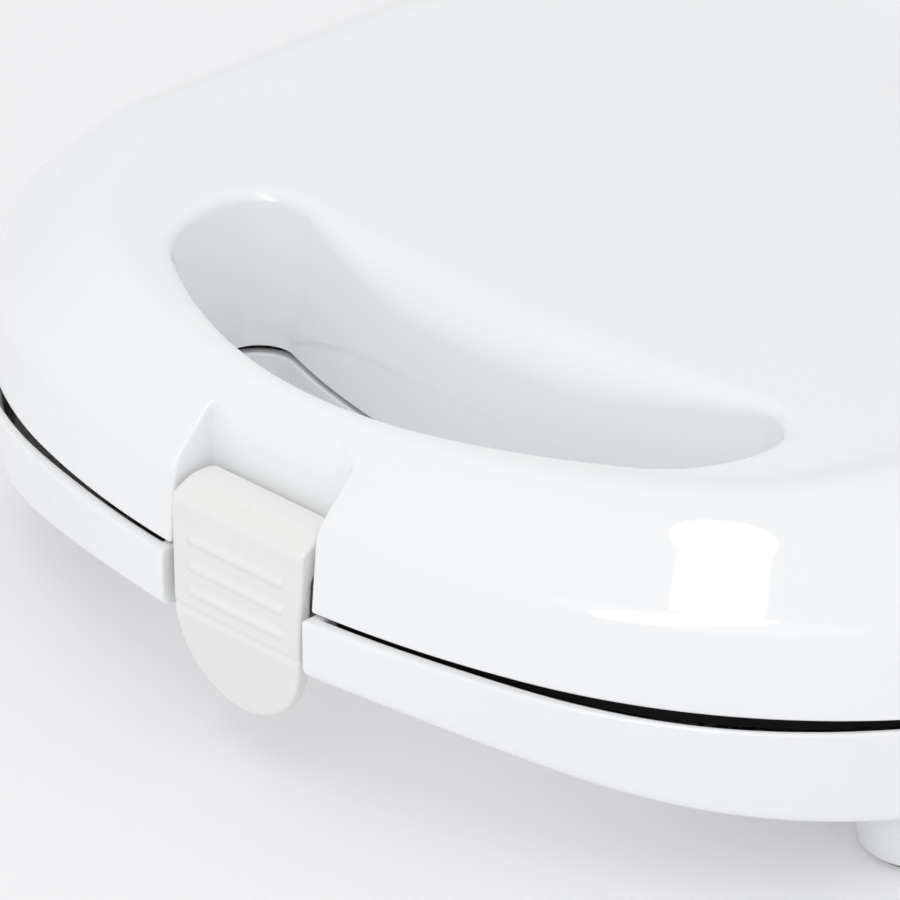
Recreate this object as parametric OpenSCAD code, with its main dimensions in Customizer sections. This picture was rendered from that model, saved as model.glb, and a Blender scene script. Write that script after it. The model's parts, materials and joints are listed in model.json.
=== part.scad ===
// A sandwich toaster for two sandwiches: a base on four feet, a hinged lid with a finger
// opening behind its front bar, and a clip that swings out from a recess in the lid.
// The modules work from the middle of the lid's front lower edge: +X right, +Y to the
// back, +Z up. place() moves them to the part's own frame, on the ground, centred.

/* [Casing] */
// Width of the casing
casing_w = 225; // [222:1:230]
// Depth of the casing without its hinge
casing_d = 212; // [208:1:216]
// Wall thickness of both casings
wall = 2.5; // [2:0.1:2.8]
// Radius of the casing's rear corners
rear_corner_r = 42; // [40:1:46]
// Height of the lid's upright edge, below its shoulder
edge_h = 10.7; // [9:0.1:11.5]
// Lean of the lid's upright edge
edge_lean = 0.95; // [0.5:0.05:1.2]
// Radius of the shoulder above the edge
shoulder_r = 7; // [5:0.5:8]
// Length of the 45 degree slope above the shoulder
slope_l = 9.2; // [8:0.1:10]
// Radius of the dome between the slope and the crest of the rim
dome_r = 24; // [22:0.5:26]
// Depth of the sunk top panel below the crest
panel_sink = 2.2; // [1.5:0.1:2.4]
// Height of the gap between lid and base
parting_gap = 1.4; // [1:0.1:1.6]
// Height of the base's side band
band_h = 15.6; // [15:0.1:16.5]
// How far the band leans in at its bottom
band_lean = 2.6; // [1.5:0.1:3]
// Depth of the tub below the band
tub_h = 7; // [6.8:0.1:7.4]
// Height of the feet below the band, without their pads
foot_h = 15; // [14:0.5:17]

/* [Finger opening] */
// Distance from the front edge to the opening
opening_y = 17; // [16:0.5:18]
// Radius of the opening's ends
opening_end_r = 10.5; // [10:0.5:11]
// Rounding of the opening's lip
lip_r = 3.2; // [2.5:0.1:3.5]
// How much the opening narrows from the top panel to the base
opening_draft = 3.4; // [3:0.1:3.6]

/* [Cooking plates] */
// Width of a plate
plate_w = 198; // [196:1:199]
// Depth of a plate, front to back
plate_d = 128; // [124:1:129]
// Thickness of a plate's flange
plate_t = 2.5; // [2:0.1:2.8]
// Depth of a sandwich pocket
pocket_h = 11.5; // [10:0.5:12]
// Width of the ridge that cuts a sandwich in two
ridge_w = 7; // [6:0.5:9]
// Diameter of the heating tube
tube_d = 6.4; // [6:0.1:6.6]

/* [Hinge and clip] */
// Distance from the rear wall to the hinge axis
hinge_back = 6.5; // [6.2:0.1:7.5]
// Radius of the hinge barrels
barrel_r = 5; // [4.5:0.1:5.2]
// Radius of the hinge pins
hinge_pin_r = 2; // [1.8:0.1:2.2]
// Half the width of the clip
clip_half = 14; // [13:0.5:14.4]
// Half the width of the clip's recess
recess_half = 15.35; // [15:0.05:16]
// Depth of the clip's recess
recess_d = 10.25; // [9.5:0.25:10.5]
// Thickness of the clip
clip_t = 2.2; // [1.8:0.1:2.4]
// Radius of the clip's pin
clip_pin_r = 1.5; // [1.3:0.1:1.6]

/* [Hidden] */

white = [0.94, 0.94, 0.95];
clip_white = [0.93, 0.92, 0.90];
black = [0.07, 0.07, 0.08];
steel = [0.72, 0.72, 0.74];
aluminium = [0.80, 0.80, 0.82];

turn_step = 6;
hull_fn = 32;
eps = 0.01;
run_gap = 0.05;
seat_gap = 0.02;

// Plan of the casing's front half: three arcs, each [radius, heading at its start and end].
// Headings turn from 0, along the front, to 90, along the side.
front_r = 177.55;
mid_r = 97.2;
corner_heading = 55.4;
front_heading = 17.41;
corner_r = (casing_w / 2 - front_r * sin(front_heading)
    - mid_r * (sin(corner_heading) - sin(front_heading))) / (1 - sin(corner_heading));
casing_arcs = [[front_r, 0, front_heading], [mid_r, front_heading, corner_heading],
    [corner_r, corner_heading, 90]];

// Plan of the sunk panel, which narrows towards the front like the casing.
panel_arcs = [[104, 0, 36], [32, 36, 70], [86, 70, 90]];
panel_rear_inset = 30;
panel_rear_r = 16;

// Plan of the finger opening: near side, end, and a rear side that bows to the front.
end_turn = 200;
opening_arcs = [[78, 0, 20], [110, 20, 33.5], [21.5, 33.5, 90], [opening_end_r, 90, end_turn]];

// Heights, from the lid's lower edge.
edge_turn = 84.9;
slope_turn = 45;
slope_z = edge_h + shoulder_r * (cos(slope_turn) - cos(edge_turn));
slope_x = edge_lean + shoulder_r * (sin(edge_turn) - sin(slope_turn));
dome_z = slope_z + slope_l * sin(slope_turn);
dome_x = slope_x + slope_l * cos(slope_turn);
crest_z = dome_z + dome_r * (1 - cos(slope_turn));
crest_x = dome_x + dome_r * sin(slope_turn);
rim_inset = 36;
panel_z = crest_z - panel_sink;
panel_t = 2.3;
base_top_z = -parting_gap;
band_z = base_top_z - band_h;
tub_z = band_z - tub_h;
tub_floor = 2.2;
tub_inset = 14;
tub_y = 61;
tub_d = 134;
foot_z = band_z - foot_h;
pad_t = 1.4;
pad_out = 1;
ground_z = foot_z - pad_out;

hinge_y = casing_d + hinge_back;
hinge_z = -parting_gap / 2;
front_out = 1.4;
rear_out = hinge_y + barrel_r;
mid_y = (rear_out - front_out) / 2;

// Plates, elements and reflectors.
plate_y = 64;
plate_corner_r = 14;
upper_face_z = -0.35;
lower_face_z = base_top_z + 0.3;
pocket_w = 80;
pocket_d = 102;
pocket_x = 45;
pocket_y = plate_y + plate_d / 2 + 1.4;
boss_wall = 2.2;
tube_r = tube_d / 2;
tube_side_x = plate_w / 2 - 8;
tube_front_y = plate_y + 8.4;
tube_bend_r = 12;
tube_rear_y = plate_y + plate_d - 5;
tube_pin_r = 1.2;
tube_pin_l = 11;
reflector_t = 0.6;
reflector_in = 3.2;
reflector_rear_in = 7.6;
reflector_r = 18;
reflector_h = pocket_h + boss_wall - plate_t + 1.2;
stud_r = 1.4;
stud_y = [plate_y + 24, plate_y + plate_d - 24];
// Places of the screws that hold a plate against its ledge.
plate_screw_places = [[plate_w / 2 - 6.3, plate_y + 6.3], [60, plate_y + plate_d - 3.6]];
ledge_in = 2.5;
ledge_corner_r = 8;
plate_pad_r = 2.6;
plate_pad_h = 7;
ledge_t = 1.5;
plate_gap = 0.3;

// Surrounds and screws.
surround_t = 2;
surround_gap = 0.3;
upper_surround_z = -0.5;
lower_surround_z = base_top_z + 0.4;
screw_r = 1.25;
screw_head_r = 2.6;
screw_head_h = 1.2;
boss_r = 4;
base_boss_h = 8;
base_boss_z = band_z + 1 + base_boss_h;
well_h = 2.4;
// Each screw's place, and how high its boss reaches in the lid.
screw_places = [[66, 34, 23.2], [105.4, 128, 14.6], [82, 200.5, 16.6]];

foot_places = [[88, 58], [84, 186]];
foot_floor_tops = [band_z + wall, tub_z + tub_floor];
foot_top_r = 12.5;
foot_bottom_r = 10.5;
foot_peg_r = 2.8;
foot_peg_up = 2;
pad_recess_r = 8.5;

clip_pivot_y = 5.8;
clip_pivot_z = 8.4;
clip_barrel_r = 3.6;
clip_pin_half = recess_half + wall - 0.3;
clip_bottom_z = -24;
crease_z = -9;
tongue_turn = 16;
face_lean = 0.124;
hook_h = 2.4;
grip_r = 0.7;
grip_z = [3.1, -1.4, -5.5];
catch_z = -11.2;
catch_h = 3;
hook_half = 11;
catch_y = 4.2;
hook_gap = 0.4;

lug_x = 58;
lug_w = 12;
lug_gap = 0.4;
base_lug_w = 6.4;
gland_z = base_top_z - 7.3;
gland_r = 5.2;
gland_flange_r = 6.6;
gland_in = 8;
gland_collar_t = 1.4;
land_half = 9;
land_h = band_h - 2.8;
land_t = wall + 2;
clamp_x = 8.5;
clamp_y = 199.4;
clamp_z = gland_z - 0.6;
clamp_t = 5;
clamp_boss_r = 2.8;
saddle_d = 4;
clamp_head_r = 2.4;
clamp_head_h = 1.4;
block_x = 24;
block_y = 194.4;
block_w = 28;
block_d = 10;
block_h = 8;
terminal_r = 2;
wire_r = 0.9;
wire_drop = 8;
cord_r = 3.3;
lens_y = 165;
lens_x = 9;
lens_r = 3.2;
lens_flange_r = lens_r + 1.2;
lamp_r = 1.8;

// ---------- plan curves ----------
// A half outline is a list of stations, each [point, unit normal], from the middle of its
// near side, by the right, to the middle of its far side.

// Point reached after the first n arcs of a path that starts at [0, y0].
function arc_step(a) = [a[0] * (sin(a[2]) - sin(a[1])), a[0] * (cos(a[1]) - cos(a[2]))];
function path_point(arcs, n, y0) = n == 0 ? [0, y0]
    : path_point(arcs, n - 1, y0) + arc_step(arcs[n - 1]);
// Centre of arc n: to the left of the path by its radius.
function arc_centre(arcs, n, y0) = path_point(arcs, n, y0)
    + arcs[n][0] * [-sin(arcs[n][1]), cos(arcs[n][1])];
// Stations of a round stretch, between two headings; its normals point away from the centre.
function round_stations(centre, r, h0, h1, first) = let (steps = ceil(abs(h1 - h0) / turn_step))
    [for (i = [first:steps]) let (h = h0 + (h1 - h0) * i / steps, n = [sin(h), -cos(h)])
        [centre + r * n, n]];
function path_stations(arcs, y0) = [for (n = [0:len(arcs) - 1])
    each round_stations(arc_centre(arcs, n, y0), arcs[n][0], arcs[n][1], arcs[n][2], n == 0 ? 0 : 1)];
function rear_corner(half, rear_y, r) =
    round_stations([half - r, rear_y - r], r, 90, 180, 0);
// Adds the mirror image of a half outline, without repeating the stations on the middle line.
function whole(half) = concat(half, [for (i = [len(half) - 1:-1:0]) let (s = half[i])
    if (s[0][0] > eps) [[-s[0][0], s[0][1]], [-s[1][0], s[1][1]]]]);
function moved(stations, out) = [for (s = stations) s[0] + out * s[1]];

casing_outline = whole(concat(path_stations(casing_arcs, 0),
    rear_corner(casing_w / 2, casing_d, rear_corner_r)));
panel_half = path_point(panel_arcs, 3, opening_y)[0];
panel_outline = whole(concat(path_stations(panel_arcs, opening_y),
    rear_corner(panel_half, casing_d - panel_rear_inset, panel_rear_r)));

// The opening's rear side is an arc that bows to the front, tangent to its ends.
end_point = path_point(opening_arcs, 4, opening_y);
bow_r = end_point[0] / sin(end_turn - 180);
bow_y = end_point[1] + bow_r * cos(end_turn - 180);
bow_steps = 5;
bow_stations = [for (i = [1:bow_steps])
    let (h = (end_turn - 180) * (1 - i / bow_steps), n = [-sin(h), cos(h)])
    [[0, bow_y] - bow_r * n, n]];
opening_outline = whole(concat(path_stations(opening_arcs, opening_y), bow_stations));

module casing_plan(inset) {
    polygon(moved(casing_outline, -inset));
}

module panel_plan(inset) {
    polygon(moved(panel_outline, -inset));
}

module opening_plan(inset) {
    polygon(moved(opening_outline, -inset));
}

// Sweeps a closed section round an outline. The section's points are [distance outwards,
// height], and run anticlockwise.
module sweep(outline, section) {
    n = len(outline);
    m = len(section);
    polyhedron(
        points = [for (s = outline, q = section)
            [s[0][0] + q[0] * s[1][0], s[0][1] + q[0] * s[1][1], q[1]]],
        faces = [for (i = [0:n - 1], j = [0:m - 1])
            let (i2 = (i + 1) % n, j2 = (j + 1) % m, a = i * m + j, b = i * m + j2,
                c = i2 * m + j2, d = i2 * m + j)
            each [[a, b, c], [a, c, d]]]);
}

function inwards(section) = [for (q = section) [-q[0], q[1]]];

module place() {
    translate([0, -mid_y, -ground_z]) children();
}

module at_feet() {
    for (side = [-1, 1], p = foot_places) translate([side * p[0], p[1], foot_z]) children();
}

module at_screws(places) {
    for (side = [-1, 1], p = places) translate([side * p[0], p[1], 0]) children();
}

module rounded_box(w, d, h, r) {
    translate([-w / 2 + r, 0, 0]) cube([w - 2 * r, d, h]);
    translate([-w / 2, r, 0]) cube([w, d - 2 * r, h]);
    for (x = [-1, 1], y = [r, d - r]) translate([x * (w / 2 - r), y, 0])
        cylinder(h = h, r = r, $fn = 48);
}

module x_cylinder(r, x0, x1) {
    translate([x0, 0, 0]) rotate([0, 90, 0]) cylinder(h = x1 - x0, r = r, $fn = 48);
}

// ---------- lid ----------

// Outer line of the lid's section, from its lower edge to the crest, moved in by t.
function lid_line(t) = concat(
    [[t, 0]],
    [for (i = [0:3]) let (a = edge_turn - (edge_turn - slope_turn) * i / 3)
        [edge_lean + shoulder_r * sin(edge_turn), edge_h - shoulder_r * cos(edge_turn)]
        + (shoulder_r - t) * [-sin(a), cos(a)]],
    [for (i = [0:5]) let (a = slope_turn * (1 - i / 5))
        [crest_x, crest_z - dome_r] + (dome_r - t) * [-sin(a), cos(a)]],
    [[rim_inset, crest_z - t]]);

function reversed(list) = [for (i = [len(list) - 1:-1:0]) list[i]];
lid_section = inwards(concat(lid_line(0), reversed(lid_line(wall))));

// Place of the lid's opening wall at a height, outwards from the opening's edge at the top.
function wall_out(z) = -opening_draft * (panel_z - z) / panel_z;

// What the finger opening takes away in the lid: a slanted wall and a rounded lip.
cut_out = -opening_draft - 3;
lid_lip_cut = concat([[cut_out, -1], [wall_out(-1), -1], [wall_out(panel_z - lip_r), panel_z - lip_r]],
    [for (i = [1:4]) let (a = 90 * i / 4)
        [lip_r - lip_r * cos(a), panel_z - lip_r + lip_r * sin(a)]],
    [[lip_r, panel_z + 10], [cut_out, panel_z + 10]]);

// A wall round the opening: its outer face goes from out0 at z0 to out1 at z1.
module opening_wall(z0, z1, out0, out1) {
    sweep(opening_outline, [[out0 - wall - 0.5, z0], [out0, z0], [out1, z1], [out1 - wall - 0.5, z1]]);
}

// Walls round the clip's recess, from a side view given as [distance back, height].
module clip_liner() {
    outer_x = recess_half + wall;
    translate([-outer_x, 0, 0]) rotate([90, 0, 90]) linear_extrude(2 * outer_x) children();
}

module lid_liner_side() {
    back = 0.8;
    under = 1.2;
    intersection() {
        translate([back, 0]) polygon(concat(lid_line(under), [[rim_inset, 0]]));
        square([recess_d + wall, crest_z]);
    }
}

module lid_lug() {
    translate([0, hinge_y, hinge_z]) x_cylinder(barrel_r, lug_x - lug_w / 2, lug_x + lug_w / 2);
    translate([lug_x - lug_w / 2, 0, 0])
        rotate([90, 0, 90])
            linear_extrude(lug_w)
                polygon([[casing_d - 1.2, 1.5], [casing_d + 1, 1.5], [hinge_y - 2, hinge_z],
                    [rear_out - 0.3, hinge_z + 1.2], [casing_d + 1, 11.5], [casing_d - 1.6, 11.5]]);
}

module lid_casing() {
    color(white) place() difference() {
        union() {
            sweep(casing_outline, lid_section);
            translate([0, 0, panel_z - panel_t]) linear_extrude(panel_t) intersection() {
                panel_plan(-1);
                translate([-casing_w / 2, 30]) square([casing_w, casing_d]);
            }
            opening_wall(0, panel_z - 2, wall_out(0) + wall, wall_out(panel_z - 2) + wall);
            clip_liner() lid_liner_side();
            for (side = [0, 1]) mirror([side, 0, 0]) lid_lug();
            for (side = [-1, 1], p = screw_places)
                translate([side * p[0], p[1], upper_surround_z + surround_t + 0.1])
                    cylinder(h = p[2] - upper_surround_z - surround_t - 0.1, r = boss_r, $fn = 36);
        }
        translate([0, 0, panel_z]) linear_extrude(10) panel_plan(0);
        translate([0, 0, -1]) linear_extrude(crest_z + 10) opening_plan(opening_draft + 1);
        sweep(opening_outline, lid_lip_cut);
        translate([-recess_half, -5, -1]) cube([2 * recess_half, recess_d + 5, 40]);
        translate([0, clip_pivot_y, clip_pivot_z])
            x_cylinder(clip_pin_r + seat_gap, -clip_pin_half - 1, clip_pin_half + 1);
        translate([0, hinge_y, hinge_z]) x_cylinder(hinge_pin_r + run_gap, -80, 80);
        at_screws(screw_places) translate([0, 0, -1])
            cylinder(h = 14, r = screw_r + seat_gap, $fn = 36);
        for (x = [-lens_x, lens_x]) translate([x, lens_y, 0])
            cylinder(h = 40, r = lens_r + seat_gap, $fn = 48);
    }
}

// A flat black cover inside a casing's edge, with openings for the plate, the fingers and the clip.
module surround_slab(z) {
    difference() {
        translate([0, 0, z]) linear_extrude(surround_t) casing_plan(wall + surround_gap);
        translate([0, 0, z - 1]) linear_extrude(surround_t + 2)
            opening_plan(opening_draft - wall - surround_gap - 0.2);
        translate([-recess_half - wall - surround_gap, -1, z - 1])
            cube([2 * (recess_half + wall + surround_gap), recess_d + wall + surround_gap + 1, 5]);
        translate([0, plate_y - plate_gap, z - 1])
            rounded_box(plate_w + 2 * plate_gap, plate_d + 2 * plate_gap, 5, plate_corner_r + plate_gap);
    }
}

// The ledge that a plate's flange seats against: its back face is at z, and it reaches away
// from the face by dir.
module plate_ledge(z, face_z, dir) {
    rim = 1.6;
    out = plate_gap + rim;
    low = min(z + dir * ledge_t, face_z);
    high = max(z + dir * ledge_t, face_z);
    difference() {
        translate([0, plate_y - out, low])
            rounded_box(plate_w + 2 * out, plate_d + 2 * out, high - low, plate_corner_r + out);
        translate([0, plate_y - plate_gap, min(z, face_z - 5 * dir)])
            rounded_box(plate_w + 2 * plate_gap, plate_d + 2 * plate_gap,
                abs(z - face_z + 5 * dir), plate_corner_r + plate_gap);
        translate([0, plate_y + ledge_in, low - 5])
            rounded_box(plate_w - 2 * ledge_in, plate_d - 2 * ledge_in, high - low + 10,
                ledge_corner_r);
    }
}

module at_plate_screws() {
    at_screws(plate_screw_places) children();
}

// A cooking plate with its face at z = 0 and its back below: two sandwiches, each cut in two.
module plate_body() {
    module corner(x, y, top, bottom, h) {
        translate([x, y, -h]) cylinder(h = h, r1 = bottom, r2 = top, $fn = hull_fn);
    }
    module half_sandwich(h) {
        top_r = 7;
        bottom_r = 3.5;
        x0 = -pocket_w / 2 + top_r;
        y0 = -pocket_d / 2 + top_r;
        back = ridge_w * 1.9;
        hull() {
            corner(x0, y0, top_r, bottom_r, h);
            corner(-x0 - back, y0, top_r, bottom_r, h);
            corner(x0, -y0 - back * pocket_d / pocket_w, top_r, bottom_r, h);
        }
    }
    difference() {
        union() {
            translate([0, plate_y, -plate_t]) rounded_box(plate_w, plate_d, plate_t, plate_corner_r);
            for (side = [-1, 1])
                translate([side * pocket_x, pocket_y - pocket_d / 2 - boss_wall, -pocket_h - boss_wall])
                    rounded_box(pocket_w + 2 * boss_wall, pocket_d + 2 * boss_wall,
                        pocket_h + boss_wall - 0.5, 8);
        }
        for (side = [0, 1]) mirror([side, 0, 0])
            translate([pocket_x, pocket_y, eps])
                for (turn = [0, 180]) rotate([0, 0, turn]) half_sandwich(pocket_h);
        at_plate_screws() {
            translate([0, 0, -plate_t - 1]) cylinder(h = plate_t + 2, r = stud_r + 0.1, $fn = 36);
            translate([0, 0, -screw_head_h]) cylinder(h = 5, r = screw_head_r + run_gap, $fn = 36);
        }
        for (y = stud_y) translate([0, y, -plate_t - 1])
            cylinder(h = 2.6, r = stud_r + seat_gap, $fn = 36);
    }
}

// A tube heater on a plate's back, at z = 0, with its two ends at the rear.
module element_body() {
    z = -plate_t - tube_r;
    bend_x = tube_side_x - tube_bend_r;
    bend_y = tube_front_y + tube_bend_r;
    translate([0, 0, z]) {
        translate([0, tube_front_y, 0]) x_cylinder(tube_r, -bend_x, bend_x);
        for (side = [0, 1]) mirror([side, 0, 0]) {
            translate([bend_x, bend_y, 0]) rotate([0, 0, -90])
                rotate_extrude(angle = 90, $fn = 48)
                    translate([tube_bend_r, 0]) circle(r = tube_r, $fn = 36);
            translate([tube_side_x, tube_rear_y, 0]) rotate([90, 0, 0])
                cylinder(h = tube_rear_y - bend_y, r = tube_r, $fn = 36);
            translate([tube_side_x, tube_rear_y + tube_pin_l, 0]) rotate([90, 0, 0])
                cylinder(h = tube_pin_l + 1, r = tube_pin_r, $fn = 24);
        }
    }
}

// A thin metal tray behind a plate and its element.
module reflector_body() {
    w = plate_w - 2 * reflector_in;
    d = plate_d - reflector_in - reflector_rear_in;
    top_z = -plate_t;
    notch_r = tube_r + 0.15;
    notch_l = 24;
    difference() {
        translate([0, plate_y + reflector_in, top_z - reflector_h])
            rounded_box(w, d, reflector_h, reflector_r);
        translate([0, plate_y + reflector_in + reflector_t, top_z - reflector_h + reflector_t])
            rounded_box(w - 2 * reflector_t, d - 2 * reflector_t, reflector_h, reflector_r - reflector_t);
        for (side = [-1, 1])
            translate([side * tube_side_x, plate_y + plate_d + 2, -plate_t - tube_r]) {
                rotate([90, 0, 0]) cylinder(h = notch_l, r = notch_r, $fn = 36);
                translate([-notch_r, -notch_l, 0]) cube([2 * notch_r, notch_l, 10]);
            }
        for (y = stud_y) translate([0, y, top_z - reflector_h - 1])
            cylinder(h = 4, r = stud_r + 0.1, $fn = 36);
    }
}

// The screws of one plate, with its face at z = 0: four along its
// edge, and two in the middle that hold the reflector.
module plate_screw_set() {
    at_plate_screws() {
        translate([0, 0, -screw_head_h]) cylinder(h = screw_head_h - 0.2, r = screw_head_r, $fn = 36);
        translate([0, 0, -plate_t - 6]) cylinder(h = plate_t + 6 - screw_head_h, r = stud_r, $fn = 36);
    }
    for (y = stud_y) {
        translate([0, y, -plate_t - reflector_h - screw_head_h])
            cylinder(h = screw_head_h, r = screw_head_r, $fn = 36);
        translate([0, y, -plate_t - reflector_h])
            cylinder(h = reflector_h + 1.4, r = stud_r, $fn = 36);
    }
}

module pads_for_plate_screws(z, dir) {
    at_plate_screws() translate([0, 0, dir > 0 ? z : z - plate_pad_h])
        cylinder(h = plate_pad_h, r = plate_pad_r, $fn = 36);
}

module lower_side() {
    translate([0, 0, lower_face_z]) children();
}

module upper_side() {
    translate([0, 0, upper_face_z]) mirror([0, 0, 1]) children();
}

module lid_surround() {
    flange_z = upper_face_z + plate_t;
    color(black) place() difference() {
        union() {
            surround_slab(upper_surround_z);
            plate_ledge(flange_z, upper_surround_z, 1);
            pads_for_plate_screws(flange_z, 1);
        }
        at_plate_screws() cylinder(h = 12, r = stud_r + seat_gap, $fn = 36);
        at_screws(screw_places) {
            translate([0, 0, -2]) cylinder(h = 8, r = screw_r + 0.1, $fn = 36);
            translate([0, 0, upper_surround_z - 1])
                cylinder(h = screw_head_h + 1, r = screw_head_r + run_gap, $fn = 36);
        }
    }
}

module upper_plate() {
    color(black) place() upper_side() plate_body();
}

module upper_element() {
    color(steel) place() upper_side() element_body();
}

module upper_reflector() {
    color(aluminium) place() upper_side() reflector_body();
}

module upper_plate_screws() {
    color(steel) place() upper_side() plate_screw_set();
}

module lid_screws() {
    color(steel) place() at_screws(screw_places) {
        translate([0, 0, upper_surround_z + 0.1])
            cylinder(h = screw_head_h - 0.1, r = screw_head_r, $fn = 36);
        translate([0, 0, upper_surround_z + screw_head_h]) cylinder(h = 11, r = screw_r, $fn = 36);
    }
}

module thermostat_body() {
    r = 7;
    h = 3.6;
    tab = [6, 4, 0.8];
    cylinder(h = h, r = r, $fn = 48);
    translate([0, 0, h]) cylinder(h = 1, r = r - 2, $fn = 48);
    for (side = [-1, 1]) translate([side * (r + 2) - tab[0] / 2, -tab[1] / 2, 1]) cube(tab);
}

module upper_thermostat() {
    color(aluminium) place()
        translate([-pocket_x, pocket_y, upper_face_z + plate_t + reflector_h]) thermostat_body();
}

module lens(x) {
    under_z = panel_z - panel_t;
    out = 0.4;
    flange_t = 1;
    translate([x, lens_y, under_z]) cylinder(h = panel_t + out, r = lens_r, $fn = 48);
    translate([x, lens_y, panel_z + out]) cylinder(h = out, r1 = lens_r, r2 = lens_r - 0.6, $fn = 48);
    translate([x, lens_y, under_z - flange_t]) cylinder(h = flange_t, r = lens_flange_r, $fn = 48);
}

module power_lens() {
    color([0.75, 0.10, 0.08]) place() lens(-lens_x);
}

module ready_lens() {
    color([0.15, 0.55, 0.20]) place() lens(lens_x);
}

module lamp_holder() {
    top_z = panel_z - panel_t;
    h = 7.4;
    floor_t = 1.4;
    size = [38, 16];
    color([0.85, 0.85, 0.82]) place() difference() {
        translate([0, lens_y - size[1] / 2, top_z - h]) rounded_box(size[0], size[1], h, 3);
        for (x = [-lens_x, lens_x]) translate([x, lens_y, top_z - h + floor_t])
            cylinder(h = h, r = lens_flange_r + 0.1, $fn = 48);
    }
}

module neon_lamps() {
    h = 3;
    base_z = panel_z - panel_t - 2 * h;
    color([0.90, 0.70, 0.50]) place() for (x = [-lens_x, lens_x]) translate([x, lens_y, base_z]) {
        cylinder(h = h, r = lamp_r, $fn = 36);
        translate([0, 0, h]) sphere(r = lamp_r, $fn = 36);
    }
}

module latch_pin() {
    color(steel) place() translate([0, clip_pivot_y, clip_pivot_z])
        x_cylinder(clip_pin_r, -clip_pin_half, clip_pin_half);
}

// ---------- clip ----------

// Front face of the clip above its crease, at a height.
function face_y(z) = 1.2 + (z - clip_pivot_z - 1.2) * face_lean;

// Side view of the clip, as [distance back, height].
module latch_side() {
    front_top = [face_y(clip_pivot_z + 1.2), clip_pivot_z + 1.2];
    front_crease = [face_y(crease_z), crease_z];
    front_bottom = front_crease + (crease_z - clip_bottom_z) * [tan(tongue_turn), -1];
    polygon(concat(
        [front_bottom, front_crease, front_top],
        [for (i = [1:4]) let (a = 180 - 90 * i / 4 - 14)
            [clip_pivot_y, clip_pivot_z] + (clip_barrel_r + 0.4) * [cos(a), sin(a)]],
        [[clip_pivot_y, clip_pivot_z], front_top + [clip_t, -3.4], front_crease + [clip_t, 0],
            front_bottom + [clip_t - 0.5, 0]]));
    translate([clip_pivot_y, clip_pivot_z]) circle(r = clip_barrel_r, $fn = 48);
}

module latch() {
    tongue_h = crease_z - clip_bottom_z;
    hook_z = catch_z - hook_gap;
    color(clip_white) place() difference() {
        union() {
            intersection() {
                translate([-clip_half, 0, 0]) rotate([90, 0, 90]) linear_extrude(2 * clip_half)
                    latch_side();
                translate([0, 20, 0]) rotate([90, 0, 0]) linear_extrude(40)
                    polygon(concat([[clip_half, clip_bottom_z + 60], [-clip_half, clip_bottom_z + 60]],
                        [for (i = [0:36]) let (a = 180 + 5 * i)
                            [clip_half * cos(a), crease_z + tongue_h * sin(a)]]));
            }
            for (z = grip_z) translate([0, face_y(z), z])
                x_cylinder(grip_r, -clip_half + 4, clip_half - 4);
            translate([-hook_half, 1, hook_z - hook_h]) cube([2 * hook_half, 5, hook_h]);
        }
        translate([0, clip_pivot_y, clip_pivot_z]) x_cylinder(clip_pin_r + run_gap, -20, 20);
    }
}

// ---------- base ----------

base_fillet = 2.4;
base_section = reversed(inwards(concat(
    [[0.9, base_top_z], [0.25, base_top_z - 0.25], [0, base_top_z - 0.9]],
    [for (i = [0:3]) let (a = 180 + 90 * i / 3) [band_lean - 0.6 + base_fillet * (1 + cos(a)),
        band_z + base_fillet * (1 + sin(a))]],
    [[24, band_z], [24, band_z + wall], [band_lean + wall + 1.5, band_z + wall],
        [band_lean + wall - 0.6, band_z + wall + 1.8], [wall, base_top_z - 4], [wall, base_top_z]])));

// What the finger opening takes away in the base, outwards from its edge: a broken lower edge.
base_lip_cut = [for (q = [[-3, base_top_z + 1], [-3, band_z - 1], [1.2, band_z - 1], [1.2, band_z],
    [0, band_z + 1.2], [0, base_top_z + 1]]) q - [opening_draft, 0]];

module base_liner_side() {
    polygon([[1.7, base_top_z], [1.7, base_top_z - 2], [4.4, band_z + 1],
        [recess_d + wall, band_z + 1], [recess_d + wall, base_top_z]]);
}

module base_lug(x) {
    translate([0, hinge_y, hinge_z]) x_cylinder(barrel_r, x, x + base_lug_w);
    translate([x, 0, 0]) rotate([90, 0, 90]) linear_extrude(base_lug_w)
        polygon([[casing_d - 1.6, base_top_z - 1.2], [hinge_y, hinge_z], [rear_out - 0.1, hinge_z - 0.8],
            [casing_d - 1, band_z + 4], [casing_d - 2.4, band_z + 4]]);
}

module tub(inset, floor_z, h) {
    intersection() {
        translate([0, 0, floor_z]) linear_extrude(h) casing_plan(tub_inset + inset);
        translate([-casing_w / 2, tub_y + inset, floor_z - 1])
            cube([casing_w, tub_d - 2 * inset, h + 2]);
    }
}

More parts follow.
